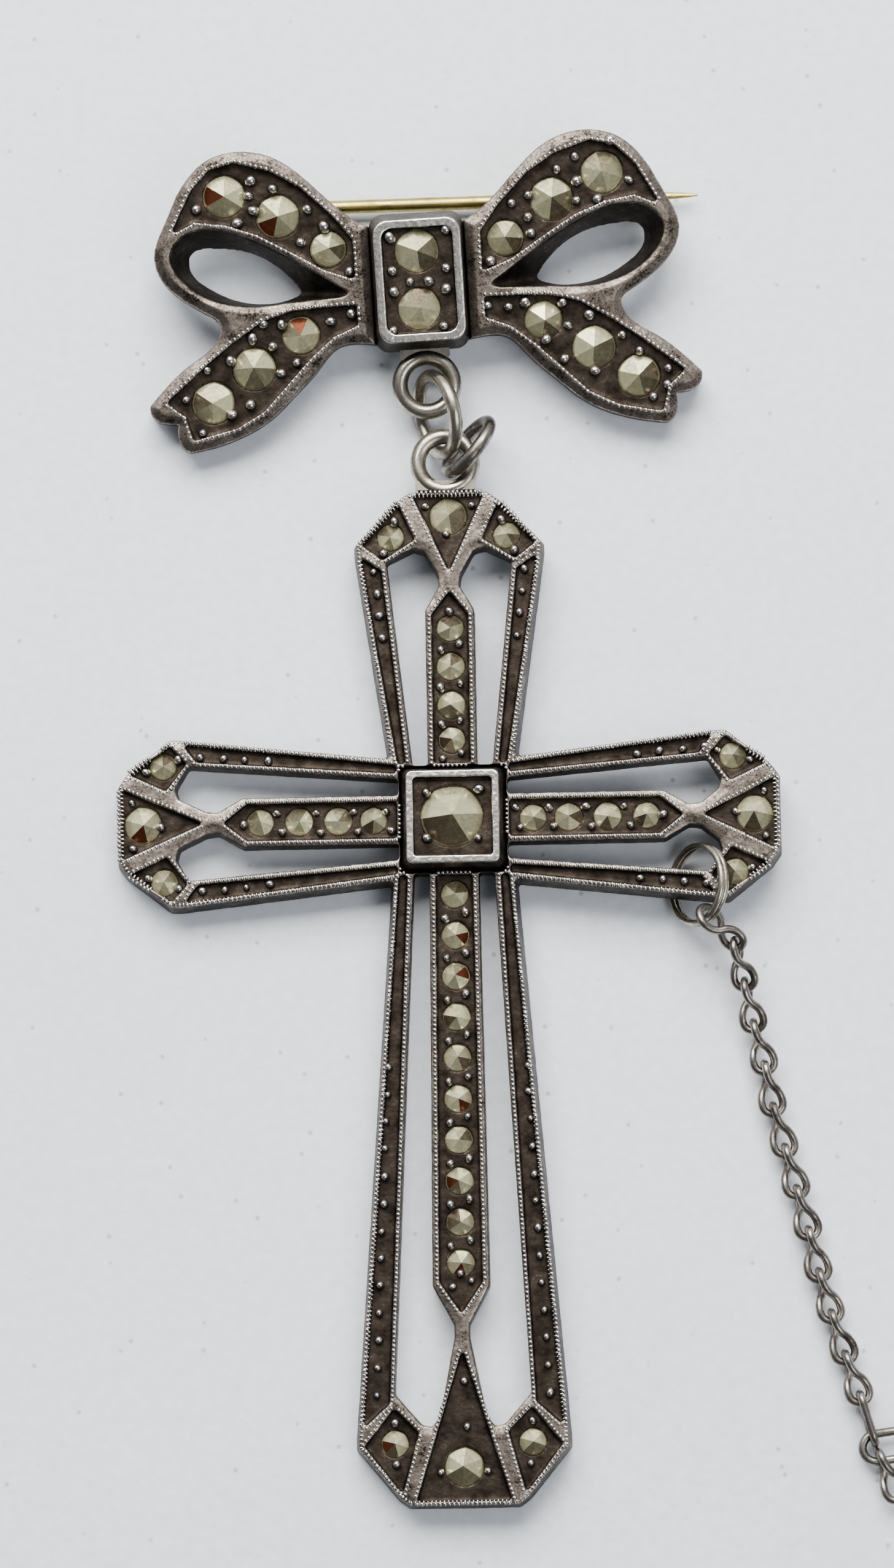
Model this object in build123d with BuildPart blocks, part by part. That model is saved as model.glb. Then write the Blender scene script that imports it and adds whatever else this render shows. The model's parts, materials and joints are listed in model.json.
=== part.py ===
"""Bow brooch with a cross pendant and a safety chain, lying face up on a table. Millimetres, +Z up.

The bow leans on its pin joint, its catch and the two ribbon tails. The cross lies almost flat, with one
arm raised by the ring round its rail. Each assembly is drawn in its own plane, with its back at height 0.
"""

import os
from math import cos, radians, sin, tan

from build123d import *

# ---- Planes -----------------------------------------------------------------------------------------------
MIDDLE = (8.183, 0.245, -0.009)  # middle of the outline on the table, at its lowest point: the origin
BOW_AT = (-1.74, 28.07, 1.494)  # middle of the bow's back
BOW_TURN = 3.8  # degrees, turned on the table
BOW_LEAN = 10.5  # degrees, its top edge up
CROSS_AT = (0.08, -0.16, 0.603)  # middle of the cross's back
CROSS_TURN = 0.95
CROSS_RISE_X = 0.0285  # rise of the cross's back per millimetre to the right
CROSS_RISE_Y = 0.01425  # and per millimetre upwards

# ---- Bow --------------------------------------------------------------------------------------------------
RIBBON_THICK = 1.9
RECESS = 0.38  # depth of the dark floors under the milled edges
WEB_THICK = 0.9  # plate behind the knot
KNOT_BASE = (4.9, 7.2)
KNOT_FACE = (4.5, 6.3)
KNOT_TOP = 3.1  # height of the knot's face above the bow's back
KNOT_RIM = 0.42
KNOT_CORNER = 0.75
BOW_RING_AT = (0.05, -5.35)
BOW_RING_HEIGHT = 1.15
BOW_RING_RADIUS = 1.40  # to the middle of the wire
BOW_COLLAR = (2.6, 0.6, 0.2)  # width, depth and corner of the ring's collar
BOW_COLLAR_HEIGHT = 0.9
BOW_COLLAR_OUT = 0.12  # from the knot's edge to the collar's middle
SOLDERED_WIRE = 0.41  # radius of the wire of both soldered rings

# ---- Stones -----------------------------------------------------------------------------------------------
SEAT_DEPTH = 0.32
SEAT_GAP = 0.02
CROWN_PITCH = 31  # degrees between a facet and the girdle plane
STONE_TURN = 23  # degrees, spreads the facets' directions
LOOP_STONES = [(9.80, 5.00, 2.10), (7.10, 3.80, 2.15), (4.60, 1.95, 1.80)]
TAIL_STONES = [(6.30, -2.40, 1.88), (8.82, -3.98, 2.15), (11.05, -5.60, 2.12)]
KNOT_STONES = [(-0.05, 1.52, 2.22), (-0.10, -1.45, 2.15)]

# ---- Pin, joint and catch ---------------------------------------------------------------------------------
JOINT_AT = (-9.5, 4.39, -1.5)  # middle of the joint, in the bow's plane
STEM_SLANT = -1.72  # degrees between the stem and the bow's long axis
STEM_RADIUS = 0.35
STEM_LENGTH = 24.4  # from the joint to the point
POINT_LENGTH = 5.6
SHOULDER_RADIUS = 0.5  # the stem's root, which tapers to the wire beside its eye
SHOULDER_END = 1.2
POINT_RADIUS = 0.07
EYE_RADIUS = 0.75
EYE_WIDTH = 0.9
RIVET_RADIUS = 0.33
RIVET_HEAD = 0.56
RIVET_HEAD_THICK = 0.25
RUNNING_GAP = 0.05  # between the rivet and the stem's eye
EAR_SLACK = 0.08  # between the rivet and the ears, which lets the stem spring sideways
EAR_GAP = 1.1
EAR_THICK = 0.42
EAR_RADIUS = 0.62
BASE_THICK = 0.3
CATCH_X = 19.7  # from the joint, along the stem
CATCH_OFFSET = 0.80  # the hook's middle, above the sprung-out stem
HOOK_INNER = 0.42
HOOK_WALL = 0.42
HOOK_WIDTH = 1.3
LIP_REACH = 0.2  # straight end of the hook's lip
HEAD_ROUND = 0.12

# ---- Loose rings: middle, direction of the level diameter, slope of the plane, radius, wire radius ----------
LARGE_RING = ((-0.78, 20.902, 2.241), -74.17, 66.57, 2.028, 0.36)
SMALL_RING = ((0.827, 19.267, 1.97), 233.11, 69.34, 1.636, 0.35)
CHAIN_RING = ((12.60, -3.55, 1.95), -92.0, 52.0, 2.00, 0.165)
CHAIN_RING_TURNS = 0.29  # distance between its two turns

# ---- Cross ------------------------------------------------------------------------------------------------
CROSS_THICK = 1.7
CROSS_DRAFT = 6
CROSS_RECESS = 0.34
BOX_SEAT = 0.8  # height of the collet's underside
BOX_RECESS = 0.42
BOX_CORNER = 0.35
BOX_BASE = 5.5
BOX_FACE = 4.75
BOX_TOP = 2.75
BOX_OPENING = 4.05
SHORT_ARMS = [("top_arm", 90, 17.15, 4.95), ("left_arm", 180, 17.35, 4.5), ("right_arm", 0, 16.85, 4.5)]
ARM_ROOT = 2.6  # where the arms leave the centre box
RAIL_ROOT = 3.15  # half width across the rails there
SPINE_HALF = 1.28
SPINE_STONES = [(4.10, 1.32), (5.92, 1.38), (7.92, 1.38), (9.92, 1.32)]
LONG_REACH = 35.15
LONG_SPREAD = 5.5
LONG_STONE_START = 3.90
LONG_STONE_PITCH = 2.095
LONG_STONE_COUNT = 10
CENTRE_STONE = 3.15
CROSS_RING_AT = (-0.12, 18.60)
CROSS_RING_HEIGHT = 1.04
CROSS_RING_RADIUS = 1.41
COLLAR_WIDTH = 3.1
COLLAR_HEIGHT = 0.5
COLLAR_THICK = 1.0
COLLAR_BOTTOM = 0.35
COLLAR_ROUND = 0.15

# ---- Chain ------------------------------------------------------------------------------------------------
LINK_WIRE = 0.205  # wire radius
LINK_BEND = 0.54  # radius of both ends, to the middle of the wire
FIRST_BEND = 0.70  # the same for the end that grips the chain's ring
FIRST_GRIP = 0.60  # between the middles of the ring's wire and of that end's wire
LINK_PLAY = 0.07  # gap where two links meet
LINK_PITCH = 2.19
LINK_REST = 0.75  # height of a link's middle when it lies on the table
HOOK_ANGLE = 28  # where the first link grips the chain ring, from the ring's level diameter
FIRST_FOLD = 45  # degrees between the ring's radius there and the first link
FIRST_LEAN = Vector(-0.4, -0.6, 0)  # how the upright ends lean over on the first links
UPRIGHT_AFTER = 4  # the link from which they stand upright
FALL_SHARE = 0.5  # part of the height left that each link falls
FALL_LIMIT = 30  # degrees, the steepest link
HEADINGS = [-74, -78, -75.3, -79, -74, -74.4, -74.6, -76.4, -73.6, -72, -70.5, -73]
SPARE_HEADING = -66

# ---- Guard pin at the chain's far end ---------------------------------------------------------------------
GUARD_WIRE = 0.22
GUARD_BEND = 0.70  # radius of the bend that the chain grips
GUARD_HEADING = 9
GUARD_REACH = 11.0  # from the bend's middle to the arms' ends
GUARD_POINT = 2.4
CAP_SIZE = (2.6, 2.5, 1.3)  # length, width, thickness
CAP_DEPTH = 1.5  # how far the arms go in
CAP_ROUND = 0.4

os.makedirs("parts", exist_ok=True)


def tilted_plane(at, turn, rise_x, rise_y):
    """A plane through a point, turned on the table, whose height grows by the two slopes."""
    along = (cos(radians(turn)), sin(radians(turn)))
    slope = rise_x * along[0] + rise_y * along[1]
    return Plane(origin=at, x_dir=(*along, slope), z_dir=(-rise_x, -rise_y, 1))


lean = radians(BOW_LEAN)
turn = radians(BOW_TURN)
BOW = Plane(
    origin=BOW_AT,
    x_dir=(cos(turn), sin(turn), 0),
    z_dir=(sin(turn) * sin(lean), -cos(turn) * sin(lean), cos(lean)),
)
CROSS = tilted_plane(CROSS_AT, CROSS_TURN, CROSS_RISE_X, CROSS_RISE_Y)
JOINT = Plane(
    origin=BOW.from_local_coords(Vector(*JOINT_AT)),
    x_dir=BOW.x_dir.rotate(Axis((0, 0, 0), BOW.z_dir), STEM_SLANT),
    z_dir=BOW.z_dir,
)


def level(height):
    """The plane parallel to a piece's back, at a height above it."""
    return Plane.XY.offset(height)


def save(name, builder, frame):
    """Places a finished piece by the plane of its assembly, labels it and writes its file."""
    to_origin = Location((-MIDDLE[0], -MIDDLE[1], -MIDDLE[2]))
    piece = builder.part.moved(to_origin * frame.location)
    piece.label = name
    export_step(piece, f"parts/{name}.step")
    print(name, "solids", len(piece.solids()), "volume", round(piece.volume, 3), "valid", piece.is_valid)


def both_sides(points):
    """A closed outline from its points above the x axis, mirrored below it."""
    return points + [(x, -y) for x, y in reversed(points) if y]


# ---- Marcasites -------------------------------------------------------------------------------------------
def marcasite(diameter):
    """A rose-cut stone with a flat back and six facets that meet in a point, its girdle at height 0."""
    crown = diameter / 2 * tan(radians(CROWN_PITCH))
    with BuildPart() as stone:
        with BuildSketch(level(-SEAT_DEPTH)):
            Circle(diameter / 2)
        extrude(amount=SEAT_DEPTH + crown)
        with BuildSketch(level(-SEAT_DEPTH)):
            RegularPolygon(diameter / 2, 6, major_radius=False)
        extrude(amount=SEAT_DEPTH, mode=Mode.INTERSECT)
        with BuildSketch(level(0)) as girdle:
            RegularPolygon(diameter / 2, 6, major_radius=False)
        loft(sections=[girdle.sketch.face(), Vertex(0, 0, crown)])
    return stone.part


def stone_group(name, stones, floor, frame):
    """One node of separate stones, each an (x, y, diameter), with their facets turned different ways."""
    with BuildPart() as group:
        for index, (x, y, diameter) in enumerate(stones):
            with Locations(Location((x, y, floor), (0, 0, STONE_TURN * (index + x)))):
                add(marcasite(diameter))
    save(name, group, frame)


def cut_seats(stones, floor):
    """Round seats for the stones, cut down from a floor."""
    for x, y, diameter in stones:
        with BuildSketch(level(floor)) as seat:
            with Locations((x, y)):
                Circle(diameter / 2 + SEAT_GAP)
        extrude(seat.sketch, amount=-SEAT_DEPTH, mode=Mode.SUBTRACT)


# ---- Bow --------------------------------------------------------------------------------------------------
BOW_SIDE = [
    [(0, 3.55), (2.6, 3.1), (4.15, 4.25), (5.9, 6.0), (7.3, 6.95), (9.1, 7.3), (10.6, 6.95)],
    [
        (10.6, 6.95), (11.6, 6.15), (12.4, 5.0), (13.1, 3.6),
        (13.65, 2.2), (13.5, 1.2), (12.6, 0.0), (10.9, -1.15),
    ],
    [(10.9, -1.15), (10.45, -1.75), (10.7, -2.45), (12.1, -3.5), (13.6, -4.75), (14.4, -5.6)],
    [(14.4, -5.6), (14.3, -6.1), (12.95, -6.6)],
    [(12.95, -6.6), (12.75, -7.9), (12.45, -8.15)],
    [
        (12.45, -8.15), (9.8, -7.55), (8.05, -6.65), (6.7, -5.45),
        (5.5, -4.3), (4.3, -3.15), (3.4, -3.05), (0, -3.4),
    ],
]
HOLE_BACK = [(6.3, 0.0), (7.3, 1.2), (8.6, 2.0), (10.4, 2.35), (11.7, 2.1), (11.75, 1.35), (10.8, 0.35)]
HOLE_BACK += [(9.6, -0.3), (8.2, -0.6), (6.9, -0.45)]
HOLE_FACE = [(3.8, -0.25), (6.2, 1.35), (8.3, 2.6), (10.6, 3.35), (12.2, 3.0), (12.8, 2.1), (12.2, 0.75)]
HOLE_FACE += [(10.6, -0.35), (8.6, -0.75), (6.0, -0.6)]
LOOP_FLOOR = [(3.35, 2.35), (4.3, 3.6), (5.9, 5.2), (7.4, 6.1), (9.2, 6.65), (10.5, 6.35), (11.5, 5.3)]
LOOP_FLOOR += [(12.6, 3.25), (11.4, 3.8), (9.8, 3.55), (8.2, 2.95), (6.4, 1.9), (4.9, 0.95), (3.35, 0.35)]
TAIL_FLOOR = [(3.35, -1.05), (5.0, -1.1), (6.6, -1.15), (8.2, -1.6), (9.8, -2.6), (11.4, -3.8), (13.4, -5.45)]
TAIL_FLOOR += [(12.5, -6.2), (12.15, -7.45), (9.9, -6.95), (8.5, -6.2), (7.2, -4.9), (5.9, -3.6)]
TAIL_FLOOR += [(4.6, -2.55), (3.35, -2.05)]


def closed_curve(points):
    """A closed sketch bounded by one smooth curve."""
    with BuildSketch(mode=Mode.PRIVATE) as sketch:
        with BuildLine():
            Spline(*points, periodic=True)
        make_face()
    return sketch.sketch


def outline_of_curves(runs):
    """A closed sketch bounded by smooth runs that meet in corners and end on the y axis."""
    with BuildSketch(mode=Mode.PRIVATE) as sketch:
        with BuildLine():
            for run in runs:
                if len(run) > 2:
                    Spline(*run)
                else:
                    Line(*run)
            Line(runs[-1][-1], runs[0][0])
        make_face()
    return sketch.sketch


def mirrored(points, side):
    """The points of one half of the bow on its right (1) or left (-1) side."""
    return [(side * x, y) for x, y in points]


def bow_side(side):
    """The silhouette of one loop and one tail, at full thickness."""
    with BuildSketch(level(0)) as silhouette:
        add(outline_of_curves([mirrored(run, side) for run in BOW_SIDE]))
    extrude(silhouette.sketch, amount=RIBBON_THICK)


def make_bow_frame():
    """Both sides of the bow, with the loops' flared openings and the sunk floors inside the milled edges."""
    stones = [(side * x, y, d) for side in (-1, 1) for x, y, d in LOOP_STONES + TAIL_STONES]
    floor = RIBBON_THICK - RECESS
    with BuildPart() as frame:
        for side in (-1, 1):
            bow_side(side)
        for side in (-1, 1):
            back = level(0).location * closed_curve(mirrored(HOLE_BACK, side))
            face = level(RIBBON_THICK).location * closed_curve(mirrored(HOLE_FACE, side))
            loft(sections=[back.face(), face.face()], mode=Mode.SUBTRACT)
            for points in (LOOP_FLOOR, TAIL_FLOOR):
                with BuildSketch(level(RIBBON_THICK)) as sunk:
                    add(Polygon(*mirrored(points, side), align=None, mode=Mode.PRIVATE))
                extrude(sunk.sketch, amount=-RECESS, mode=Mode.SUBTRACT)
        with BuildSketch(level(RIBBON_THICK)) as knot_seat:
            Rectangle(*KNOT_BASE)
        extrude(knot_seat.sketch, amount=WEB_THICK - RIBBON_THICK, mode=Mode.SUBTRACT)
        cut_seats(stones, floor)
    save("bow_frame", frame, BOW)
    for word, side in (("left", -1), ("right", 1)):
        for group, group_stones in (("loop", LOOP_STONES), ("tail", TAIL_STONES)):
            placed = [(side * x, y, d) for x, y, d in group_stones]
            stone_group(f"{word}_{group}_marcasites", placed, floor, BOW)


def make_bow_knot():
    """The raised box that stands for the knot: a rim round a sunk floor with two stones."""
    floor = KNOT_TOP - RECESS
    with BuildPart() as knot:
        with BuildSketch(level(WEB_THICK)) as base:
            RectangleRounded(*KNOT_BASE, KNOT_CORNER)
        with BuildSketch(level(KNOT_TOP)) as face:
            RectangleRounded(*KNOT_FACE, KNOT_CORNER)
        loft(sections=[base.sketch.face(), face.sketch.face()])
        opening = [side - 2 * KNOT_RIM for side in KNOT_FACE]
        with BuildSketch(level(KNOT_TOP)) as sunk:
            RectangleRounded(*opening, KNOT_CORNER - KNOT_RIM / 2)
        extrude(sunk.sketch, amount=-RECESS, mode=Mode.SUBTRACT)
        cut_seats(KNOT_STONES, floor)
    save("bow_knot", knot, BOW)
    stone_group("knot_marcasites", KNOT_STONES, floor, BOW)


def make_bow_ring():
    """The ring soldered under the knot, in the bow's own plane, with a collar where it joins the web."""
    with BuildPart() as ring:
        with Locations((*BOW_RING_AT, BOW_RING_HEIGHT)):
            Torus(BOW_RING_RADIUS, SOLDERED_WIRE)
        with BuildSketch(level(WEB_THICK / 2)):
            with Locations((BOW_RING_AT[0], -KNOT_BASE[1] / 2 - BOW_COLLAR_OUT)):
                RectangleRounded(*BOW_COLLAR)
        extrude(amount=BOW_COLLAR_HEIGHT)
    save("bow_ring", ring, BOW)


# ---- Pin, joint and catch ---------------------------------------------------------------------------------
# Drawn in the plane of the joint: x along the stem to its point, y across the bow, z towards the bow's face.
def side_plane(y):
    """A plane square to the rivet, at a distance along it, with x along the stem and y towards the bow."""
    return Plane(origin=(0, y, 0), x_dir=(1, 0, 0), z_dir=(0, -1, 0))


def make_pin_joint():
    drop = -JOINT_AT[2]
    ear_middle = EAR_GAP / 2 + EAR_THICK / 2
    with BuildPart() as plate:
        with BuildSketch(level(drop - BASE_THICK)):
            SlotOverall(4.6, 3.0)
        extrude(amount=BASE_THICK)
        for side in (-1, 1):
            with BuildSketch(side_plane(side * ear_middle)) as ear:
                Circle(EAR_RADIUS)
                with Locations((0, (drop - BASE_THICK) / 2)):
                    Rectangle(2 * EAR_RADIUS, drop - BASE_THICK)
                Circle(RIVET_RADIUS + EAR_SLACK, mode=Mode.SUBTRACT)
            extrude(ear.sketch, amount=EAR_THICK / 2, both=True)
    save("hinge_plate", plate, JOINT)

    head_inside = EAR_GAP / 2 + EAR_THICK + RUNNING_GAP
    with BuildPart() as rivet:
        with BuildSketch(side_plane(0)):
            Circle(RIVET_RADIUS)
        extrude(amount=head_inside, both=True)
        for side in (-1, 1):
            with BuildSketch(side_plane(side * (head_inside + RIVET_HEAD_THICK / 2))):
                Circle(RIVET_HEAD)
            extrude(amount=RIVET_HEAD_THICK / 2, both=True)
        fillet(rivet.edges().filter_by(GeomType.CIRCLE).group_by(Axis.Y)[0], HEAD_ROUND)
        fillet(rivet.edges().filter_by(GeomType.CIRCLE).group_by(Axis.Y)[-1], HEAD_ROUND)
    save("hinge_rivet", rivet, JOINT)


def make_pin_stem():
    with BuildPart() as stem:
        with BuildSketch(side_plane(0)):
            Circle(EYE_RADIUS)
        extrude(amount=EYE_WIDTH / 2, both=True)
        shank = STEM_LENGTH - POINT_LENGTH
        with BuildSketch(Plane.XZ):
            with BuildLine():
                Polyline((0, 0), (0, SHOULDER_RADIUS), (SHOULDER_END, STEM_RADIUS), (shank, STEM_RADIUS))
                Spline(
                    (shank, STEM_RADIUS),
                    (shank + 0.6 * POINT_LENGTH, 0.62 * STEM_RADIUS),
                    (STEM_LENGTH - POINT_RADIUS, POINT_RADIUS),
                    tangents=[(1, 0), (1, -0.14)],
                )
                Line((STEM_LENGTH - POINT_RADIUS, POINT_RADIUS), (STEM_LENGTH, 0))
                Line((STEM_LENGTH, 0), (0, 0))
            make_face()
        revolve(axis=Axis.X)
        with BuildSketch(side_plane(0)):
            Circle(RIVET_RADIUS + RUNNING_GAP)
        extrude(amount=EYE_WIDTH, both=True, mode=Mode.SUBTRACT)
    save("pin_stem", stem, JOINT)


def make_catch():
    """An open C hook: its post stands beside the latched stem and its lip passes in front of it."""
    drop = -JOINT_AT[2]
    outer = HOOK_INNER + HOOK_WALL
    post_middle = HOOK_INNER + HOOK_WALL / 2
    with BuildPart() as catch:
        with BuildSketch(level(drop - BASE_THICK)):
            with Locations((CATCH_X, CATCH_OFFSET + post_middle)):
                SlotOverall(2.9, 1.5)
        extrude(amount=BASE_THICK)
        with BuildSketch(Plane(origin=(CATCH_X, CATCH_OFFSET, 0), x_dir=(0, 1, 0), z_dir=(1, 0, 0))):
            Circle(outer)
            Circle(HOOK_INNER, mode=Mode.SUBTRACT)
            with Locations((-outer, 0)):
                Rectangle(2 * outer, 4 * outer, mode=Mode.SUBTRACT)
            with Locations((0, outer)):
                Rectangle(4 * outer, 2 * outer, mode=Mode.SUBTRACT)
            with Locations((post_middle, (drop - BASE_THICK) / 2)):
                Rectangle(HOOK_WALL, drop - BASE_THICK)
            with Locations((-LIP_REACH / 2, -post_middle)):
                Rectangle(LIP_REACH, HOOK_WALL)
        extrude(amount=HOOK_WIDTH / 2, both=True)
    save("catch", catch, JOINT)


# ---- Loose rings ------------------------------------------------------------------------------------------
def ring_plane(middle, azimuth, slope):
    """The plane of a leaning ring, with x along its level diameter and y up its slope."""
    flat = radians(azimuth)
    steep = radians(slope)
    return Plane(
        origin=middle,
        x_dir=(cos(flat), sin(flat), 0),
        z_dir=(sin(flat) * sin(steep), -cos(flat) * sin(steep), cos(steep)),
    )


def make_ring(name, ring):
    middle, azimuth, slope, radius, wire = ring
    with BuildPart() as hoop:
        Torus(radius, wire)
    save(name, hoop, ring_plane(middle, azimuth, slope))


def make_chain_ring():
    """A ring of two turns that lie against each other."""
    middle, azimuth, slope, radius, wire = CHAIN_RING
    with BuildPart() as hoop:
        for side in (-1, 1):
            with Locations((0, 0, side * CHAIN_RING_TURNS / 2)):
                Torus(radius, wire)
    save("chain_ring", hoop, ring_plane(middle, azimuth, slope))


# ---- Cross ------------------------------------------------------------------------------------------------
# An arm's outline is drawn along +x from the cross's middle, then turned to its place.
def turned(points, angle):
    """Points turned about the cross's middle."""
    c, s = cos(radians(angle)), sin(radians(angle))
    return [(x * c - y * s, x * s + y * c) for x, y in points]


def polygon(points, angle):
    """A closed polygon of an arm, turned to its place."""
    return Polygon(*turned(points, angle), align=None, mode=Mode.PRIVATE)


def short_arm(reach, spread):
    """Silhouette, slot and floors of an arm whose end is cut to five sides."""
    silhouette = both_sides([
        (ARM_ROOT - 1, RAIL_ROOT), (reach - 3.3, spread), (reach - 2.75, spread),
        (reach - 0.45, 2.7), (reach, 2.05),
    ])
    slot = [
        (ARM_ROOT + 0.2, SPINE_HALF), (10.85, SPINE_HALF), (12.1, 0.55), (12.7, 0.62),
        (reach - 3.25, 1.3), (reach - 3.1, 1.85), (reach - 3.75, 0.65 * spread), (ARM_ROOT + 0.2, 2.05),
    ]
    spine = both_sides([(ARM_ROOT + 0.3, 0.92), (10.6, 0.92), (11.75, 0)])
    wedge = both_sides([(12.9, 0), (reach - 0.32, 1.8)])
    corner = [
        (reach - 2.85, spread - 0.5), (reach - 3.65, 0.69 * spread),
        (reach - 2.6, 1.75), (reach - 0.75, 2.62),
    ]
    rail = [
        (ARM_ROOT + 0.3, 2.42), (ARM_ROOT + 0.3, 2.78),
        (reach - 3.55, spread - 0.42), (reach - 4.2, 0.71 * spread),
    ]
    return silhouette, slot, spine, wedge, corner, rail


def long_arm(reach, spread):
    """The same for the lower arm, whose end wedge and corners are longer."""
    silhouette = both_sides([
        (ARM_ROOT - 1, RAIL_ROOT), (reach - 3.6, spread), (reach - 3.0, spread),
        (reach - 0.4, 3.35), (reach, 2.8),
    ])
    slot = [
        (ARM_ROOT + 0.2, SPINE_HALF), (23.9, 1.48), (25.9, 0.4), (26.5, 0.4), (30.5, 1.2),
        (31.0, 1.6), (30.9, 2.1), (29.35, 3.45), (ARM_ROOT + 0.2, 2.05),
    ]
    spine = both_sides([(ARM_ROOT + 0.3, 0.92), (23.7, 1.08), (25.25, 0)])
    wedge = both_sides([(27.2, 0), (reach - 0.38, 2.4)])
    corner = [(31.95, spread - 0.5), (30.1, 3.5), (31.3, 2.3), (reach - 0.8, 3.15)]
    rail = [(ARM_ROOT + 0.3, 2.42), (ARM_ROOT + 0.3, 2.8), (31.0, spread - 0.42), (29.8, 3.75)]
    return silhouette, slot, spine, wedge, corner, rail


def arm_stones(shape, angle, reach):
    """Stones of an arm in the cross's own coordinates: the spine's row, the wedge's and the two corners'."""
    if shape is short_arm:
        row = [(x, 0, d) for x, d in SPINE_STONES]
        ends = [(reach - 1.4, 0, 1.85), (reach - 2.45, 3.0, 1.32), (reach - 2.45, -3.0, 1.32)]
    else:
        row = [(LONG_STONE_START + i * LONG_STONE_PITCH, 0, 1.36) for i in range(LONG_STONE_COUNT)]
        ends = [(reach - 2.1, 0, 1.9), (reach - 3.3, 3.5, 1.32), (reach - 3.3, -3.5, 1.32)]
    stones = row + ends
    places = turned([(x, y) for x, y, d in stones], angle)
    return [(x, y, d) for (x, y), (_, _, d) in zip(places, stones)]


def make_cross_frame():
    floor = CROSS_THICK - CROSS_RECESS
    arms = [(name, short_arm, angle, reach, spread) for name, angle, reach, spread in SHORT_ARMS]
    arms.append(("lower_arm", long_arm, -90, LONG_REACH, LONG_SPREAD))
    with BuildPart() as frame:
        with BuildSketch() as outline:
            Rectangle(2 * RAIL_ROOT, 2 * RAIL_ROOT)
            for _, shape, angle, reach, spread in arms:
                add(polygon(shape(reach, spread)[0], angle))
        extrude(outline.sketch, amount=CROSS_THICK, taper=CROSS_DRAFT)
        with BuildSketch() as slots:
            for _, shape, angle, reach, spread in arms:
                slot = shape(reach, spread)[1]
                add(polygon(slot, angle))
                add(polygon([(x, -y) for x, y in slot], angle))
        extrude(slots.sketch, amount=CROSS_THICK, mode=Mode.SUBTRACT)
        for _, shape, angle, reach, spread in arms:
            _, _, spine, wedge, corner, rail = shape(reach, spread)
            with BuildSketch(level(CROSS_THICK)) as floors:
                for points in (spine, wedge):
                    add(polygon(points, angle))
                for points in (corner, rail):
                    add(polygon(points, angle))
                    add(polygon([(x, -y) for x, y in points], angle))
            extrude(floors.sketch, amount=-CROSS_RECESS, mode=Mode.SUBTRACT)
            cut_seats(arm_stones(shape, angle, reach), floor)
        with BuildSketch(level(CROSS_THICK)) as box_seat:
            Rectangle(BOX_BASE, BOX_BASE)
        extrude(box_seat.sketch, amount=BOX_SEAT - CROSS_THICK, mode=Mode.SUBTRACT)
    save("cross_frame", frame, CROSS)
    for name, shape, angle, reach, _ in arms:
        stone_group(f"{name}_marcasites", arm_stones(shape, angle, reach), floor, CROSS)


def make_centre_box():
    """The square collet in the cross's middle, with its one large stone."""
    floor = BOX_TOP - BOX_RECESS
    stone = [(-0.05, 0.05, CENTRE_STONE)]
    with BuildPart() as box:
        with BuildSketch(level(BOX_SEAT)) as base:
            RectangleRounded(BOX_BASE, BOX_BASE, BOX_CORNER)
        with BuildSketch(level(BOX_TOP)) as face:
            RectangleRounded(BOX_FACE, BOX_FACE, BOX_CORNER)
        loft(sections=[base.sketch.face(), face.sketch.face()])
        with BuildSketch(level(BOX_TOP)) as sunk:
            RectangleRounded(BOX_OPENING, BOX_OPENING, BOX_CORNER / 2)
        extrude(sunk.sketch, amount=-BOX_RECESS, mode=Mode.SUBTRACT)
        cut_seats(stone, floor)
    save("centre_box", box, CROSS)
    stone_group("centre_marcasite", stone, floor, CROSS)


def make_cross_ring():
    """The ring soldered to the cross's top edge, on a short collar."""
    with BuildPart() as ring:
        with Locations((*CROSS_RING_AT, CROSS_RING_HEIGHT)):
            Torus(CROSS_RING_RADIUS, SOLDERED_WIRE)
        top = SHORT_ARMS[0][2]
        with BuildSketch(level(COLLAR_BOTTOM)):
            with Locations((CROSS_RING_AT[0], top)):
                RectangleRounded(COLLAR_WIDTH, COLLAR_HEIGHT, COLLAR_ROUND, align=(Align.CENTER, Align.MIN))
        extrude(amount=COLLAR_THICK)
    save("cross_ring", ring, CROSS)


# ---- Chain ------------------------------------------------------------------------------------------------
# A link is drawn with x leading along the chain from the middle of its near end, which stands upright.
LINK_SPAN = LINK_PITCH - 2 * LINK_BEND + 2 * LINK_WIRE + LINK_PLAY  # between the middles of its two ends


def flat_direction(heading):
    """A level unit vector that points along a heading."""
    return Vector(cos(radians(heading)), sin(radians(heading)), 0)


def first_link_plane():
    """The plane of the link that grips the chain's ring."""
    middle, azimuth, slope, radius, _ = CHAIN_RING
    hoop = ring_plane(middle, azimuth, slope)
    around = radians(HOOK_ANGLE)
    outward = hoop.x_dir * cos(around) + hoop.y_dir * sin(around)
    fold = radians(FIRST_FOLD)
    heading = outward * cos(fold) - hoop.z_dir * sin(fold)
    upright = outward * sin(fold) + hoop.z_dir * cos(fold)
    gripped = Vector(*middle) + outward * radius
    return Plane(origin=gripped + heading * (FIRST_BEND - FIRST_GRIP), x_dir=heading, z_dir=upright)


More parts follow.
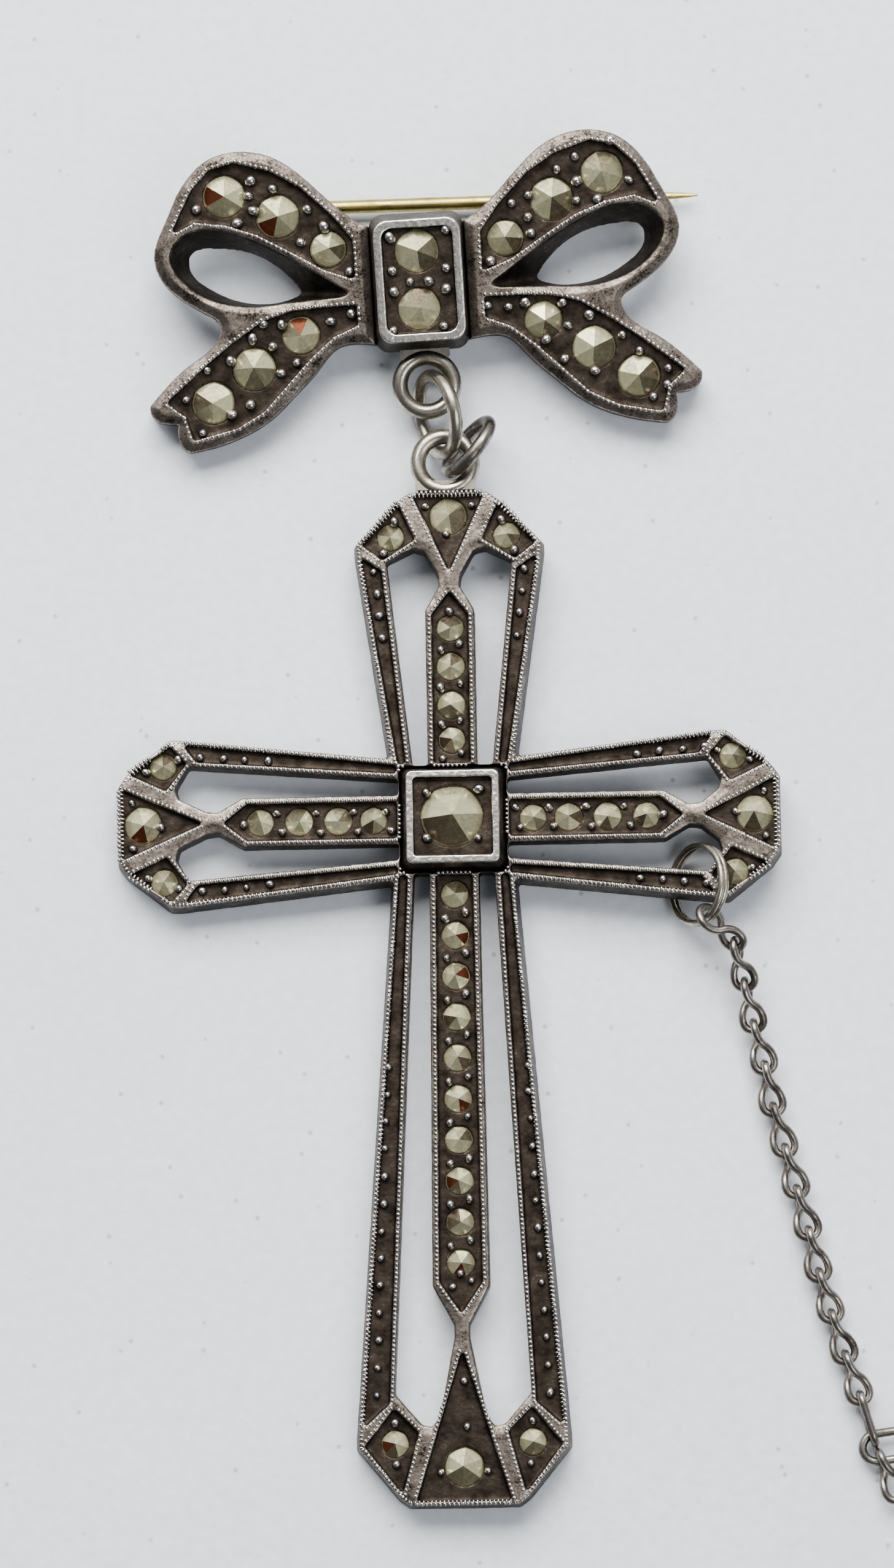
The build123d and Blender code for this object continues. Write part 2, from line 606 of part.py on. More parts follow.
def chain_planes():
    """The plane of each link at rest, from the chain's ring down to the table and along it."""
    planes = [first_link_plane()]
    for index, angle in enumerate(HEADINGS, start=1):
        before = planes[-1]
        grip = before.origin + before.x_dir * (LINK_SPAN + LINK_BEND - 2 * LINK_WIRE - LINK_PLAY)
        fall = min(FALL_SHARE * (grip.Z - LINK_REST) / LINK_PITCH, sin(radians(FALL_LIMIT)))
        heading = flat_direction(angle) * (1 - fall * fall) ** 0.5 + Vector(0, 0, -fall)
        upright = Vector(0, 0, 1) + FIRST_LEAN * max(0.0, 1 - index / UPRIGHT_AFTER)
        upright = upright - heading * upright.dot(heading)
        planes.append(Plane(origin=grip + heading * LINK_BEND, x_dir=heading, z_dir=upright))
    return planes


def make_link(name, frame, near_bend=LINK_BEND, far_flat=True):
    """A twisted oval link: an upright near end, and a far end that is flat or upright too."""
    with BuildPart() as link:
        for side in (-1, 1):
            start = Vector(0, 0, side * near_bend)
            spread = side * LINK_BEND
            far = Vector(LINK_SPAN, spread, 0) if far_flat else Vector(LINK_SPAN, 0, spread)
            middle = (start + far) * 0.5
            with BuildLine() as near_half:
                TangentArc(start, (-near_bend, 0, 0), tangent=(-1, 0, 0))
            with BuildLine() as far_half:
                if far_flat:
                    first = TangentArc(start, middle, tangent=(1, 0, 0))
                    TangentArc(middle, far, tangent=first % 1)
                else:
                    Line(start, far)
                TangentArc(far, (LINK_SPAN + LINK_BEND, 0, 0), tangent=(1, 0, 0))
            for path in (near_half, far_half):
                with BuildSketch(Plane(origin=start, z_dir=(1, 0, 0))) as wire:
                    Circle(LINK_WIRE)
                sweep(wire.sketch, path=path.wires()[0])
    save(name, link, frame)


def make_chain():
    planes = chain_planes()
    for number, plane in enumerate(planes, start=1):
        last = number == len(planes)
        bend = FIRST_BEND if number == 1 else LINK_BEND
        make_link(f"chain_link_{number:02}", plane, near_bend=bend, far_flat=not last)
    return planes[-1]


# ---- Guard pin --------------------------------------------------------------------------------------------
# Drawn with x from the middle of the bend that the chain grips, towards the cap.
def guard_plane(last_link):
    """The guard pin's plane, whose bend passes through the last link's upright end."""
    tip = last_link.origin + last_link.x_dir * (LINK_SPAN + LINK_BEND)
    middle = tip + last_link.x_dir * (GUARD_BEND - GUARD_WIRE - LINK_WIRE - LINK_PLAY)
    level_middle = Vector(middle.X, middle.Y, CAP_SIZE[2] / 2)
    return Plane(origin=level_middle, x_dir=flat_direction(GUARD_HEADING), z_dir=(0, 0, 1))


def spare_plane(guard):
    """The plane of the leftover link in the guard pin's bend."""
    heading = flat_direction(SPARE_HEADING)
    near = guard.origin + heading * (GUARD_BEND - GUARD_WIRE - LINK_WIRE - LINK_PLAY)
    middle = near + heading * LINK_BEND
    return Plane(origin=(middle.X, middle.Y, LINK_REST), x_dir=heading, z_dir=(0, 0, 1))


def make_guard_pin(frame):
    """A small safety pin: one wire bent double, with a plain arm and a pointed one, in a cap."""
    with BuildPart() as wire:
        with BuildSketch(Plane.YZ) as section:
            with Locations((GUARD_BEND, 0)):
                Circle(GUARD_WIRE)
        revolve(section.sketch, axis=Axis.Z, revolution_arc=180)
        for side in (-1, 1):
            length = GUARD_REACH if side < 0 else GUARD_REACH - GUARD_POINT
            with BuildSketch(Plane(origin=(0, side * GUARD_BEND, 0), z_dir=(1, 0, 0))) as arm:
                Circle(GUARD_WIRE)
            extrude(arm.sketch, amount=length)
        with BuildSketch(Plane(origin=(GUARD_REACH - GUARD_POINT, GUARD_BEND, 0), z_dir=(1, 0, 0))) as root:
            Circle(GUARD_WIRE)
        with BuildSketch(Plane(origin=(GUARD_REACH, GUARD_BEND, 0), z_dir=(1, 0, 0))) as point:
            Circle(POINT_RADIUS)
        loft(sections=[root.sketch.face(), point.sketch.face()])
    save("guard_pin_wire", wire, frame)

    length, width, thick = CAP_SIZE
    mouth = GUARD_REACH - CAP_DEPTH
    with BuildPart() as cap:
        with BuildSketch(Plane(origin=(mouth, 0, 0), x_dir=(0, 1, 0), z_dir=(1, 0, 0))):
            RectangleRounded(width, thick, CAP_ROUND)
        extrude(amount=length)
        fillet(cap.edges().group_by(Axis.X)[-1], CAP_ROUND / 2)
        with BuildSketch(Plane(origin=(mouth, 0, 0), x_dir=(0, 1, 0), z_dir=(1, 0, 0))) as holes:
            with Locations((-GUARD_BEND, 0)):
                Circle(GUARD_WIRE)
            with Locations((width / 2, 0)):
                Rectangle(width / 2, 2 * GUARD_WIRE + 2 * RUNNING_GAP)
        extrude(holes.sketch, amount=CAP_DEPTH + RUNNING_GAP, mode=Mode.SUBTRACT)
    save("guard_pin_cap", cap, frame)


make_bow_frame()
make_bow_knot()
make_bow_ring()
make_pin_joint()
make_pin_stem()
make_catch()
make_ring("large_jump_ring", LARGE_RING)
make_ring("small_jump_ring", SMALL_RING)
make_cross_frame()
make_centre_box()
make_cross_ring()
make_chain_ring()
GUARD = guard_plane(make_chain())
make_link("spare_link", spare_plane(GUARD))
make_guard_pin(GUARD)
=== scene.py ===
"""Looks of the bow brooch with its cross pendant and safety chain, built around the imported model.

Scene units are metres. Cast pieces are worked on in millimetres in the plane of their own assembly, where the
back is at height 0, and are put in place at the end.
"""

import json
import math
import random

import bmesh
import bpy
import numpy as np
from mathutils import Matrix, Vector, kdtree, noise

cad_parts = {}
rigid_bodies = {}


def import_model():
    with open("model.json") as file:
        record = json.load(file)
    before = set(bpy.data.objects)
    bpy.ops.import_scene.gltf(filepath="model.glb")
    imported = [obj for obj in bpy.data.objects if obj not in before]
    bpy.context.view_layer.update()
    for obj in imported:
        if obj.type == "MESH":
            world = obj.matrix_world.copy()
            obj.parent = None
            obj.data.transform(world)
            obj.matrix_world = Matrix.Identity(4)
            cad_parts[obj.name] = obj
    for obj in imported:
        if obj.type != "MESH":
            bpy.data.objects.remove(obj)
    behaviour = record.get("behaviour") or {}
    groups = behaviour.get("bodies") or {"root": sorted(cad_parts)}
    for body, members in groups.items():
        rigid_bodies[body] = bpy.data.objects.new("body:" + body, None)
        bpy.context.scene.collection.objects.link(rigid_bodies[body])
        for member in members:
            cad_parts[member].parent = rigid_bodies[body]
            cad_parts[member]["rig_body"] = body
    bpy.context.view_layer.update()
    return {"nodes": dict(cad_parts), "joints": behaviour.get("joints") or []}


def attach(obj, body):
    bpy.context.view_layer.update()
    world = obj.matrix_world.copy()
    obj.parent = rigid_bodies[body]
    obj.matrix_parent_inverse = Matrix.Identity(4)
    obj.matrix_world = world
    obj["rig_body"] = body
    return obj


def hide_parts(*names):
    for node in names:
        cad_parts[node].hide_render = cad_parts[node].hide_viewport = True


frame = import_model()
nodes = frame["nodes"]
joints = {joint["name"]: joint for joint in frame["joints"]}

MM = 0.001

# ---- Driving dimensions, millimetres --------------------------------------------------------------------
BOW_THICK = 1.9
KNOT_TOP = 3.1
CROSS_THICK = 1.7
BOX_TOP = 2.75
BOW_RECESS = 0.38
CROSS_RECESS = 0.34
BOX_RECESS = 0.42
JOINT_IN_BOW = (-9.5, 4.39, -1.5)  # the pin's joint, in the bow's plane
EYE_IN_CROSS = (-0.12, 20.01, 1.04)  # where the large ring holds the cross's ring
CROSS_SLOPE = (0.0285, 0.01425)  # rise of the cross's back per millimetre, along x and y
BOW_BEAD = (0.12, 0.125, 0.11)  # half length along the rim, half width and height
BOW_PITCH = 0.28
CROSS_BEAD = (0.095, 0.12, 0.075)
CROSS_PITCH = 0.23
RIM_MIDDLE = 0.14  # from a sunk floor's edge to the middle of its beaded rim
EDGE_BEAD = (0.065, 0.15, 0.06)  # the fine cross cuts along the cross's outer edge
EDGE_PITCH = 0.21
EDGE_MIDDLE = -0.13
FRAME_VOXEL = 0.075
SMALL_VOXEL = 0.045
SLOPE_WIDTH = 0.5  # a face falls away towards its walls over this width
BOW_BEAD_SINK = 0.05  # from a face down to the middles of its beads
CROSS_BEAD_SINK = 0.03
EDGE_BEAD_SINK = 0.08
BOW_GRAIN = (0.29, 0.42)  # radius and height
CROSS_GRAIN = (0.225, 0.38)
BOX_GRAIN = (0.25, 0.42)
RIM_JITTER = 0.012
GRAIN_JITTER = 0.04
RIM_MESH = (7, 3)  # sides and rings of a bead
GRAIN_MESH = (10, 4)
SMALLEST_FACE = 0.6  # square millimetres; no beads go round a smaller level face

# ---- Skin and polish of the castings --------------------------------------------------------------------
SMOOTH_ROUNDS = 3
WOBBLE = 0.012  # slow unevenness of the skin, millimetres
GRIT = 0.008  # its fine unevenness
BASE_POLISH = 0.10
CONVEX_POLISH = 9.0  # polish per millimetre that a spot stands out of its surroundings
SUNK_POLISH = 0.16  # taken off the sunk floors

# ---- Camera and light -----------------------------------------------------------------------------------
CAMERA_ELEVATION = 82
CAMERA_DISTANCE = 320
CAMERA_AIM = (-8.465, 1.465, 1.5)
PICTURE_HEIGHT = 80.66  # millimetres that the picture spans at the aim


def picked_frame(origin, x_axis, z_axis):
    """The matrix that takes millimetres in an assembly's plane to metres in the shared frame."""
    z = Vector(z_axis).normalized()
    x = Vector(x_axis).normalized()
    y = z.cross(x)
    basis = Matrix((x, y, z)).transposed().to_4x4()
    return Matrix.Translation(origin) @ basis @ Matrix.Scale(MM, 4)


def frame_through(joint, local_point, x_axis, z_axis):
    """The plane of an assembly, from one joint's place in it."""
    turned = picked_frame((0, 0, 0), x_axis, z_axis)
    origin = Vector(joints[joint]["pos_m"]) - turned @ Vector(local_point)
    return picked_frame(origin, x_axis, z_axis)


BOW = frame_through(
    "pin_side_spring", JOINT_IN_BOW, joints["large_ring_swing"]["axis"], joints["pin_side_spring"]["axis"]
)
CROSS = frame_through(
    "cross_swing", EYE_IN_CROSS, joints["cross_swing"]["axis"], (-CROSS_SLOPE[0], -CROSS_SLOPE[1], 1)
)


# ---- Shader helpers -------------------------------------------------------------------------------------
class Shader:
    """A material under construction, with short ways to make and join its nodes."""

    def __init__(self, name, metallic=1.0, roughness=0.4):
        self.material = bpy.data.materials.new(name)
        self.material.use_nodes = True
        self.tree = self.material.node_tree
        self.surface = self.tree.nodes["Principled BSDF"]
        self.surface.inputs["Metallic"].default_value = metallic
        self.surface.inputs["Roughness"].default_value = roughness
        self.place = self.tree.nodes.new("ShaderNodeTexCoord").outputs["Object"]

    def put(self, socket, value):
        """Gives an input a link or a plain value."""
        if isinstance(value, bpy.types.NodeSocket):
            self.tree.links.new(value, socket)
        elif isinstance(value, (tuple, list)) and len(value) == 3 and socket.type == "RGBA":
            socket.default_value = (*value, 1)
        else:
            socket.default_value = value

    def noise(self, per_mm, detail=3.0, roughness=0.55):
        texture = self.tree.nodes.new("ShaderNodeTexNoise")
        self.put(texture.inputs["Vector"], self.place)
        texture.inputs["Scale"].default_value = per_mm / MM
        texture.inputs["Detail"].default_value = detail
        texture.inputs["Roughness"].default_value = roughness
        return texture.outputs["Fac"]

    def cells(self, per_mm):
        texture = self.tree.nodes.new("ShaderNodeTexVoronoi")
        self.put(texture.inputs["Vector"], self.place)
        texture.inputs["Scale"].default_value = per_mm / MM
        return texture.outputs["Distance"]

    def attribute(self, name):
        reader = self.tree.nodes.new("ShaderNodeAttribute")
        reader.attribute_name = name
        return reader.outputs["Fac"]

    def math(self, operation, first, second):
        step = self.tree.nodes.new("ShaderNodeMath")
        step.operation = operation
        self.put(step.inputs[0], first)
        self.put(step.inputs[1], second)
        return step.outputs[0]

    def ramp(self, source, low, high, bottom=0.0, top=1.0):
        """source from low to high becomes bottom to top, and stays there outside."""
        step = self.tree.nodes.new("ShaderNodeMapRange")
        for socket, value in zip(step.inputs, (source, low, high, bottom, top)):
            self.put(socket, value)
        return step.outputs[0]

    def mix(self, factor, first, second):
        """Blends two colours; the Mix node has its colour inputs at 6 and 7 and its colour output at 2."""
        step = self.tree.nodes.new("ShaderNodeMix")
        step.data_type = "RGBA"
        self.put(step.inputs["Factor"], factor)
        self.put(step.inputs[6], first)
        self.put(step.inputs[7], second)
        return step.outputs[2]

    def bump(self, height, strength, depth_mm):
        step = self.tree.nodes.new("ShaderNodeBump")
        step.inputs["Strength"].default_value = strength
        step.inputs["Distance"].default_value = depth_mm * MM
        self.put(step.inputs["Height"], height)
        self.put(self.surface.inputs["Normal"], step.outputs["Normal"])

    def finish(self, color, roughness):
        self.put(self.surface.inputs["Base Color"], color)
        self.put(self.surface.inputs["Roughness"], roughness)
        return self.material


# ---- Materials ------------------------------------------------------------------------------------------
SOOT = (0.012, 0.009, 0.007)
BROWN_TARNISH = (0.040, 0.031, 0.024)
DULL_SILVER = (0.200, 0.168, 0.140)
WORN_SILVER = (0.72, 0.68, 0.62)
BEAD_FOOT = (0.035, 0.027, 0.021)
BEAD_CROWN = (0.60, 0.56, 0.51)
PYRITE = ((0.76, 0.72, 0.40), (0.90, 0.86, 0.55))
# Painted dark reflections on the stones' facets.
PYRITE_DARK_REFLECTION = ((0.05, 0.032, 0.02), (0.10, 0.07, 0.042))
PYRITE_RED = (0.12, 0.032, 0.013)
PAPER = ((0.69, 0.72, 0.755), (0.75, 0.78, 0.815))
PAPER_TOOTH = (0.60, 0.615, 0.64)
PAPER_SPECK = (0.26, 0.26, 0.28)


def cast_silver():
    """Oxidised cast silver: black-brown in the hollows, burnished on the edges by the attribute 'polish'."""
    shader = Shader("cast_silver")
    polish = shader.attribute("polish")
    blotch = shader.noise(1.1, 5.0, 0.65)
    fine = shader.noise(9.0, 3.0)
    worn = shader.math("ADD", polish, shader.ramp(blotch, 0.3, 0.7, -0.16, 0.16))
    worn = shader.math("ADD", worn, shader.ramp(fine, 0.3, 0.7, -0.14, 0.14))
    dark = shader.mix(shader.ramp(blotch, 0.35, 0.65), SOOT, BROWN_TARNISH)
    middle = shader.mix(shader.ramp(worn, 0.16, 0.5), dark, DULL_SILVER)
    color = shader.mix(shader.ramp(worn, 0.5, 0.95), middle, WORN_SILVER)
    shader.bump(shader.math("ADD", fine, shader.cells(4.0)), 0.35, 0.03)
    return shader.finish(color, shader.ramp(worn, 0.1, 0.9, 0.55, 0.24))


def bead_silver():
    """The tops of grains and beaded rims, brighter than the body, dark at their feet."""
    shader = Shader("bead_silver")
    foot = shader.attribute("polish")
    fine = shader.noise(7.0, 2.0)
    worn = shader.math("ADD", foot, shader.ramp(fine, 0.3, 0.7, -0.25, 0.18))
    color = shader.mix(shader.ramp(worn, 0.25, 0.95), BEAD_FOOT, BEAD_CROWN)
    return shader.finish(color, shader.ramp(worn, 0.2, 0.8, 0.5, 0.2))


def marcasite():
    """Polished pyrite, pale greenish gold, each facet darkened by its own painted reflection; a few reddish
    brown.
    """
    shader = Shader("marcasite", metallic=0.8)
    facet_tint_and_painted_light = shader.attribute("facet_tint_and_painted_light")
    fine = shader.noise(5.0, 3.0)
    pale = shader.mix(shader.ramp(fine, 0.3, 0.7), *PYRITE)
    # The facets' painted dark reflections.
    dark = shader.mix(shader.ramp(fine, 0.3, 0.7), *PYRITE_DARK_REFLECTION)
    color = shader.mix(shader.ramp(facet_tint_and_painted_light, 0.0, 1.0), dark, pale)
    color = shader.mix(shader.ramp(facet_tint_and_painted_light, 1.1, 1.2), color, PYRITE_RED)
    shader.bump(fine, 0.05, 0.01)
    return shader.finish(color, shader.ramp(fine, 0.3, 0.7, 0.20, 0.30))


def wire_metal(name, bright, dull, roughness):
    """Drawn wire with tarnish in blotches and fine scratches."""
    shader = Shader(name)
    blotch = shader.noise(0.9, 5.0, 0.6)
    fine = shader.noise(10.0, 4.0)
    tarnish = shader.math("ADD", shader.ramp(blotch, 0.35, 0.68), shader.ramp(fine, 0.3, 0.7, -0.15, 0.15))
    color = shader.mix(tarnish, bright, dull)
    shader.bump(fine, 0.2, 0.02)
    return shader.finish(color, shader.ramp(tarnish, 0.0, 1.0, roughness, roughness + 0.22))


def paper():
    """Pale grey-white paper with a soft tooth and a few specks."""
    shader = Shader("paper", metallic=0.0)
    broad = shader.noise(0.05, 4.0)
    tooth = shader.noise(1.6, 5.0)
    speck = shader.cells(0.6)
    ground = shader.mix(shader.ramp(broad, 0.3, 0.7), *PAPER)
    ground = shader.mix(shader.ramp(tooth, 0.38, 0.62, 0.0, 0.4), ground, PAPER_TOOTH)
    color = shader.mix(shader.ramp(speck, 0.045, 0.10, 0.6, 0.0), ground, PAPER_SPECK)
    shader.bump(tooth, 0.4, 0.08)
    return shader.finish(color, 0.9)


CAST = cast_silver()
BEADS = bead_silver()
STONE = marcasite()
RING = wire_metal("ring_silver", bright=(0.47, 0.43, 0.35), dull=(0.10, 0.083, 0.065), roughness=0.22)
CHAIN = wire_metal("chain_silver", bright=(0.30, 0.27, 0.235), dull=(0.042, 0.034, 0.028), roughness=0.22)
STEEL = wire_metal("guard_steel", bright=(0.32, 0.30, 0.265), dull=(0.07, 0.06, 0.05), roughness=0.24)
BRASS = wire_metal("pin_brass", bright=(0.50, 0.41, 0.13), dull=(0.22, 0.165, 0.05), roughness=0.26)


# ---- Mesh helpers ---------------------------------------------------------------------------------------
def local_mesh(node, plane):
    """A CAD node's mesh in its assembly's plane, in millimetres, with its split corners joined."""
    shape = bmesh.new()
    shape.from_mesh(nodes[node].data)
    bmesh.ops.transform(shape, matrix=plane.inverted(), verts=shape.verts)
    bmesh.ops.remove_doubles(shape, verts=shape.verts, dist=0.0005)
    return shape


def placed(name, shape, plane, material, body):
    """Turns a mesh drawn in millimetres in a plane into a piece that rides on a body."""
    data = bpy.data.meshes.new(name)
    shape.to_mesh(data)
    shape.free()
    data.transform(plane)
    piece = bpy.data.objects.new(name, data)
    bpy.context.scene.collection.objects.link(piece)
    data.materials.append(material)
    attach(piece, body)
    return piece


def set_attribute(data, name, values):
    """Stores a number for each vertex, for the materials to read."""
    layer = data.attributes.new(name, "FLOAT", "POINT")
    layer.data.foreach_set("value", np.asarray(values, np.float32))


def remeshed(shape, voxel):
    """The mesh rebuilt in even voxels, with its edges rounded by a few rounds of smoothing."""
    data = bpy.data.meshes.new("remesh")
    shape.to_mesh(data)
    shape.free()
    holder = bpy.data.objects.new("remesh", data)
    bpy.context.scene.collection.objects.link(holder)
    remesh = holder.modifiers.new("voxels", "REMESH")
    remesh.mode = "VOXEL"
    remesh.voxel_size = voxel
    smooth = holder.modifiers.new("round", "SMOOTH")
    smooth.factor = 0.5
    smooth.iterations = SMOOTH_ROUNDS
    bpy.context.view_layer.update()
    finished = holder.evaluated_get(bpy.context.evaluated_depsgraph_get())
    result = bpy.data.meshes.new_from_object(finished)
    bpy.data.objects.remove(holder)
    bpy.data.meshes.remove(data)
    return result


def neighbour_mean(values, edges, counts):
    """Mean of each vertex's neighbours."""
    total = np.zeros_like(values)
    np.add.at(total, edges[:, 0], values[edges[:, 1]])
    np.add.at(total, edges[:, 1], values[edges[:, 0]])
    return total / counts.reshape(-1, *([1] * (values.ndim - 1)))


def convexity(data):
    """Points, normals, and how far each vertex stands out of its surroundings, in millimetres."""
    count = len(data.vertices)
    points = np.zeros(count * 3)
    normals = np.zeros(count * 3)
    edges = np.zeros(len(data.edges) * 2, np.int64)
    data.vertices.foreach_get("co", points)
    data.vertices.foreach_get("normal", normals)
    data.edges.foreach_get("vertices", edges)
    points = points.reshape(-1, 3)
    normals = normals.reshape(-1, 3)
    edges = edges.reshape(-1, 2)
    counts = np.maximum(np.bincount(edges.ravel(), minlength=count), 1)
    around = points
    for _ in range(3):
        around = neighbour_mean(around, edges, counts)
    out = np.einsum("ij,ij->i", points - around, normals)
    for _ in range(2):
        out = 0.5 * out + 0.5 * neighbour_mean(out, edges, counts)
    return points, normals, out


def edge_slope(points, normals, top, floor, fall):
    """Lowers the face towards its walls, by fall at the very edge."""
    wall = (np.abs(normals[:, 2]) < 0.35) & (points[:, 2] > 0.2 * top) & (points[:, 2] < 0.6 * top)
    spots = points[wall]
    tree = kdtree.KDTree(len(spots))
    for index, spot in enumerate(spots):
        tree.insert((spot[0], spot[1], 0), index)
    tree.balance()
    for index in np.nonzero(points[:, 2] > floor)[0]:
        x, y, z = points[index]
        away = tree.find((x, y, 0))[2]
        share = max(0.0, 1 - away / SLOPE_WIDTH) * (z - floor) / (top - floor)
        points[index, 2] = z - fall * share


def cast_piece(name, node, plane, body, top, recess, flare, fall, voxel, shine):
    """A cast piece: the CAD shape with softened edges, uneven skin, leaning walls and its polish.

    flare is how far the walls are pulled in at the top, and fall is how far the face drops at its walls, both
    in millimetres; shine is the polish that the raised faces get, from 0 to 1.
    """
    data = remeshed(local_mesh(node, plane), voxel)
    points, normals, out = convexity(data)
    height_before = points[:, 2].copy()
    if fall:
        edge_slope(points, normals, top, top - recess, fall)
    height = np.clip(points[:, 2] / top, 0, 1)
    wobble = np.array([noise.noise(Vector(p) * 0.9) for p in points])
    grit = np.array([noise.noise(Vector(p) * 4.0) for p in points])
    steep = 1 - np.abs(normals[:, 2])
    pull = WOBBLE * wobble + GRIT * grit - flare * steep * height
    points = points + normals * pull[:, None]
    data.vertices.foreach_set("co", points.ravel())
    floor = top - recess
    near_top = np.clip((height_before - floor - 0.3 * recess) / (0.35 * recess), 0, 1)
    facing_up = np.clip(normals[:, 2], 0, 1)
    polish = BASE_POLISH + shine * near_top * facing_up + np.clip(out * CONVEX_POLISH, -0.4, 0.5)
    polish -= SUNK_POLISH * (1 - near_top) * facing_up
    set_attribute(data, "polish", np.clip(polish, 0, 1))
    data.shade_smooth()
    data.transform(plane)
    piece = bpy.data.objects.new(name, data)
    bpy.context.scene.collection.objects.link(piece)
    data.materials.clear()
    data.materials.append(CAST)
    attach(piece, body)
    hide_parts(node)


# ---- Where the stones are -------------------------------------------------------------------------------
def islands(shape):
    """Groups of vertices that hang together, in no fixed order."""
    left = set(shape.verts)
    while left:
        group, edge = set(), [left.pop()]
        while edge:
            vertex = edge.pop()
            group.add(vertex)
            for link in vertex.link_edges:
                other = link.other_vert(vertex)
                if other in left:
                    left.remove(other)
                    edge.append(other)
        yield group


def stone_places(names, plane):
    """Middle, radius and peak height of each stone of some CAD nodes, in their assembly's plane, sorted."""
    places = []
    for name in names:
        source = local_mesh(name, plane)
        for group in islands(source):
            corners = [v.co for v in group]
            low = Vector([min(c[i] for c in corners) for i in range(3)])
            high = Vector([max(c[i] for c in corners) for i in range(3)])
            places.append(((low + high) / 2, (high.x - low.x + high.y - low.y) / 4, high.z))
        source.free()
    return sorted(places, key=lambda place: tuple(place[0]))


def stones_on(body, plane):
    """The places of all stones that a body carries."""
    return stone_places([n for n in nodes if "marcasite" in n and nodes[n]["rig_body"] == body], plane)


# ---- Grains and beaded rims -----------------------------------------------------------------------------
def add_bead(shape, layer, x, y, z, half_sizes, turn, segments, rings):
    """A domed grain: a half ellipsoid closed underneath, its middle at (x, y, z)."""
    long_half, wide_half, high = half_sizes
    c, s = math.cos(turn), math.sin(turn)
    loops = []
    for ring in range(rings):
        tilt = math.radians(-35 + ring * 115 / rings)
        row = []
        for step in range(segments):
            around = 2 * math.pi * step / segments
            u = long_half * math.cos(tilt) * math.cos(around)
            v = wide_half * math.cos(tilt) * math.sin(around)
            vertex = shape.verts.new((x + u * c - v * s, y + u * s + v * c, z + high * math.sin(tilt)))
            vertex[layer] = ring / rings
            row.append(vertex)
        loops.append(row)
    crown = shape.verts.new((x, y, z + high))
    crown[layer] = 1.0
    for low, above in zip(loops, loops[1:]):
        for i in range(segments):
            j = (i + 1) % segments
            shape.faces.new((low[i], low[j], above[j], above[i]))
    for i in range(segments):
        shape.faces.new((loops[-1][i], loops[-1][(i + 1) % segments], crown))
    shape.faces.new(loops[0][::-1])


def level_outlines(node, plane, height):
    """Closed outlines of a cast piece's level faces at a height: lists of points, the face on the left."""
    shape = local_mesh(node, plane)
    shape.normal_update()
    level = [f for f in shape.faces if f.normal.z > 0.99 and abs(f.calc_center_median().z - height) < 0.02]
    members = set(level)  # only looked up in: a set's own order changes from run to run
    following = {}
    for face in level:
        for loop in face.loops:
            others = [f for f in loop.edge.link_faces if f is not face]
            if not any(f in members for f in others):
                onward = (loop.link_loop_next.vert.index, loop.vert.co.xy.copy())
                following.setdefault(loop.vert.index, []).append(onward)
    outlines = []
    while following:
        start = next(iter(following))
        here, outline = start, []
        while here in following:
            onward = following[here].pop()
            if not following[here]:
                del following[here]
            outline.append(onward[1])
            here = onward[0]
        area = sum(a.x * b.y - b.x * a.y for a, b in zip(outline, outline[1:] + outline[:1])) / 2
        if area > SMALLEST_FACE:
            outlines.append(outline)
    shape.free()
    return outlines


def walk(outline, pitch):
    """Even steps along a closed outline: a point and the direction there."""
    total = sum((b - a).length for a, b in zip(outline, outline[1:] + outline[:1]))
    count = max(int(total / pitch), 3)
    step, wanted, gone = total / count, 0.0, 0.0
    for a, b in zip(outline, outline[1:] + outline[:1]):
        length = (b - a).length
        while wanted <= gone + length and length > 1e-6:
            yield a.lerp(b, (wanted - gone) / length), (b - a) / length
            wanted += step
        gone += length


def beaded_rims(shape, layer, outlines, height, bead, pitch, aside, stones, draw):
    """Rows of small beads beside outlines: on the rims of sunk floors, or inside a face's outer edge."""
    for outline in outlines:
        for point, along in walk(outline, pitch):
            outward = Vector((along.y, -along.x))
            at = point + outward * (aside + draw.uniform(-RIM_JITTER, RIM_JITTER))
            if any((at - middle.xy).length < radius for middle, radius, _ in stones):
                continue
            size = draw.uniform(0.9, 1.1)
            half = (bead[0] * size, bead[1] * size, bead[2] * draw.uniform(0.7, 1.0))
            add_bead(shape, layer, at.x, at.y, height, half, math.atan2(along.y, along.x), *RIM_MESH)


def grains(shape, layer, places, floor, grain, draw):
    """Raised grains that stand between the stones."""
    radius, high = grain
    for x, y in places:
        size = radius * draw.uniform(0.85, 1.15)
        half = (size * draw.uniform(1.0, 1.25), size, high * draw.uniform(0.85, 1.05))
        turn = draw.uniform(0, math.pi)
        x += draw.uniform(-GRAIN_JITTER, GRAIN_JITTER)
        y += draw.uniform(-GRAIN_JITTER, GRAIN_JITTER)
        add_bead(shape, layer, x, y, floor, half, turn, *GRAIN_MESH)


def bead_piece(name, plane, body, fill):
    """One piece that holds all of an assembly's beads; fill(shape, layer) makes them."""
    shape = bmesh.new()
    layer = shape.verts.layers.float.new("polish")
    fill(shape, layer)
    piece = placed(name, shape, plane, BEADS, body)
    piece.data.shade_smooth()
    return piece


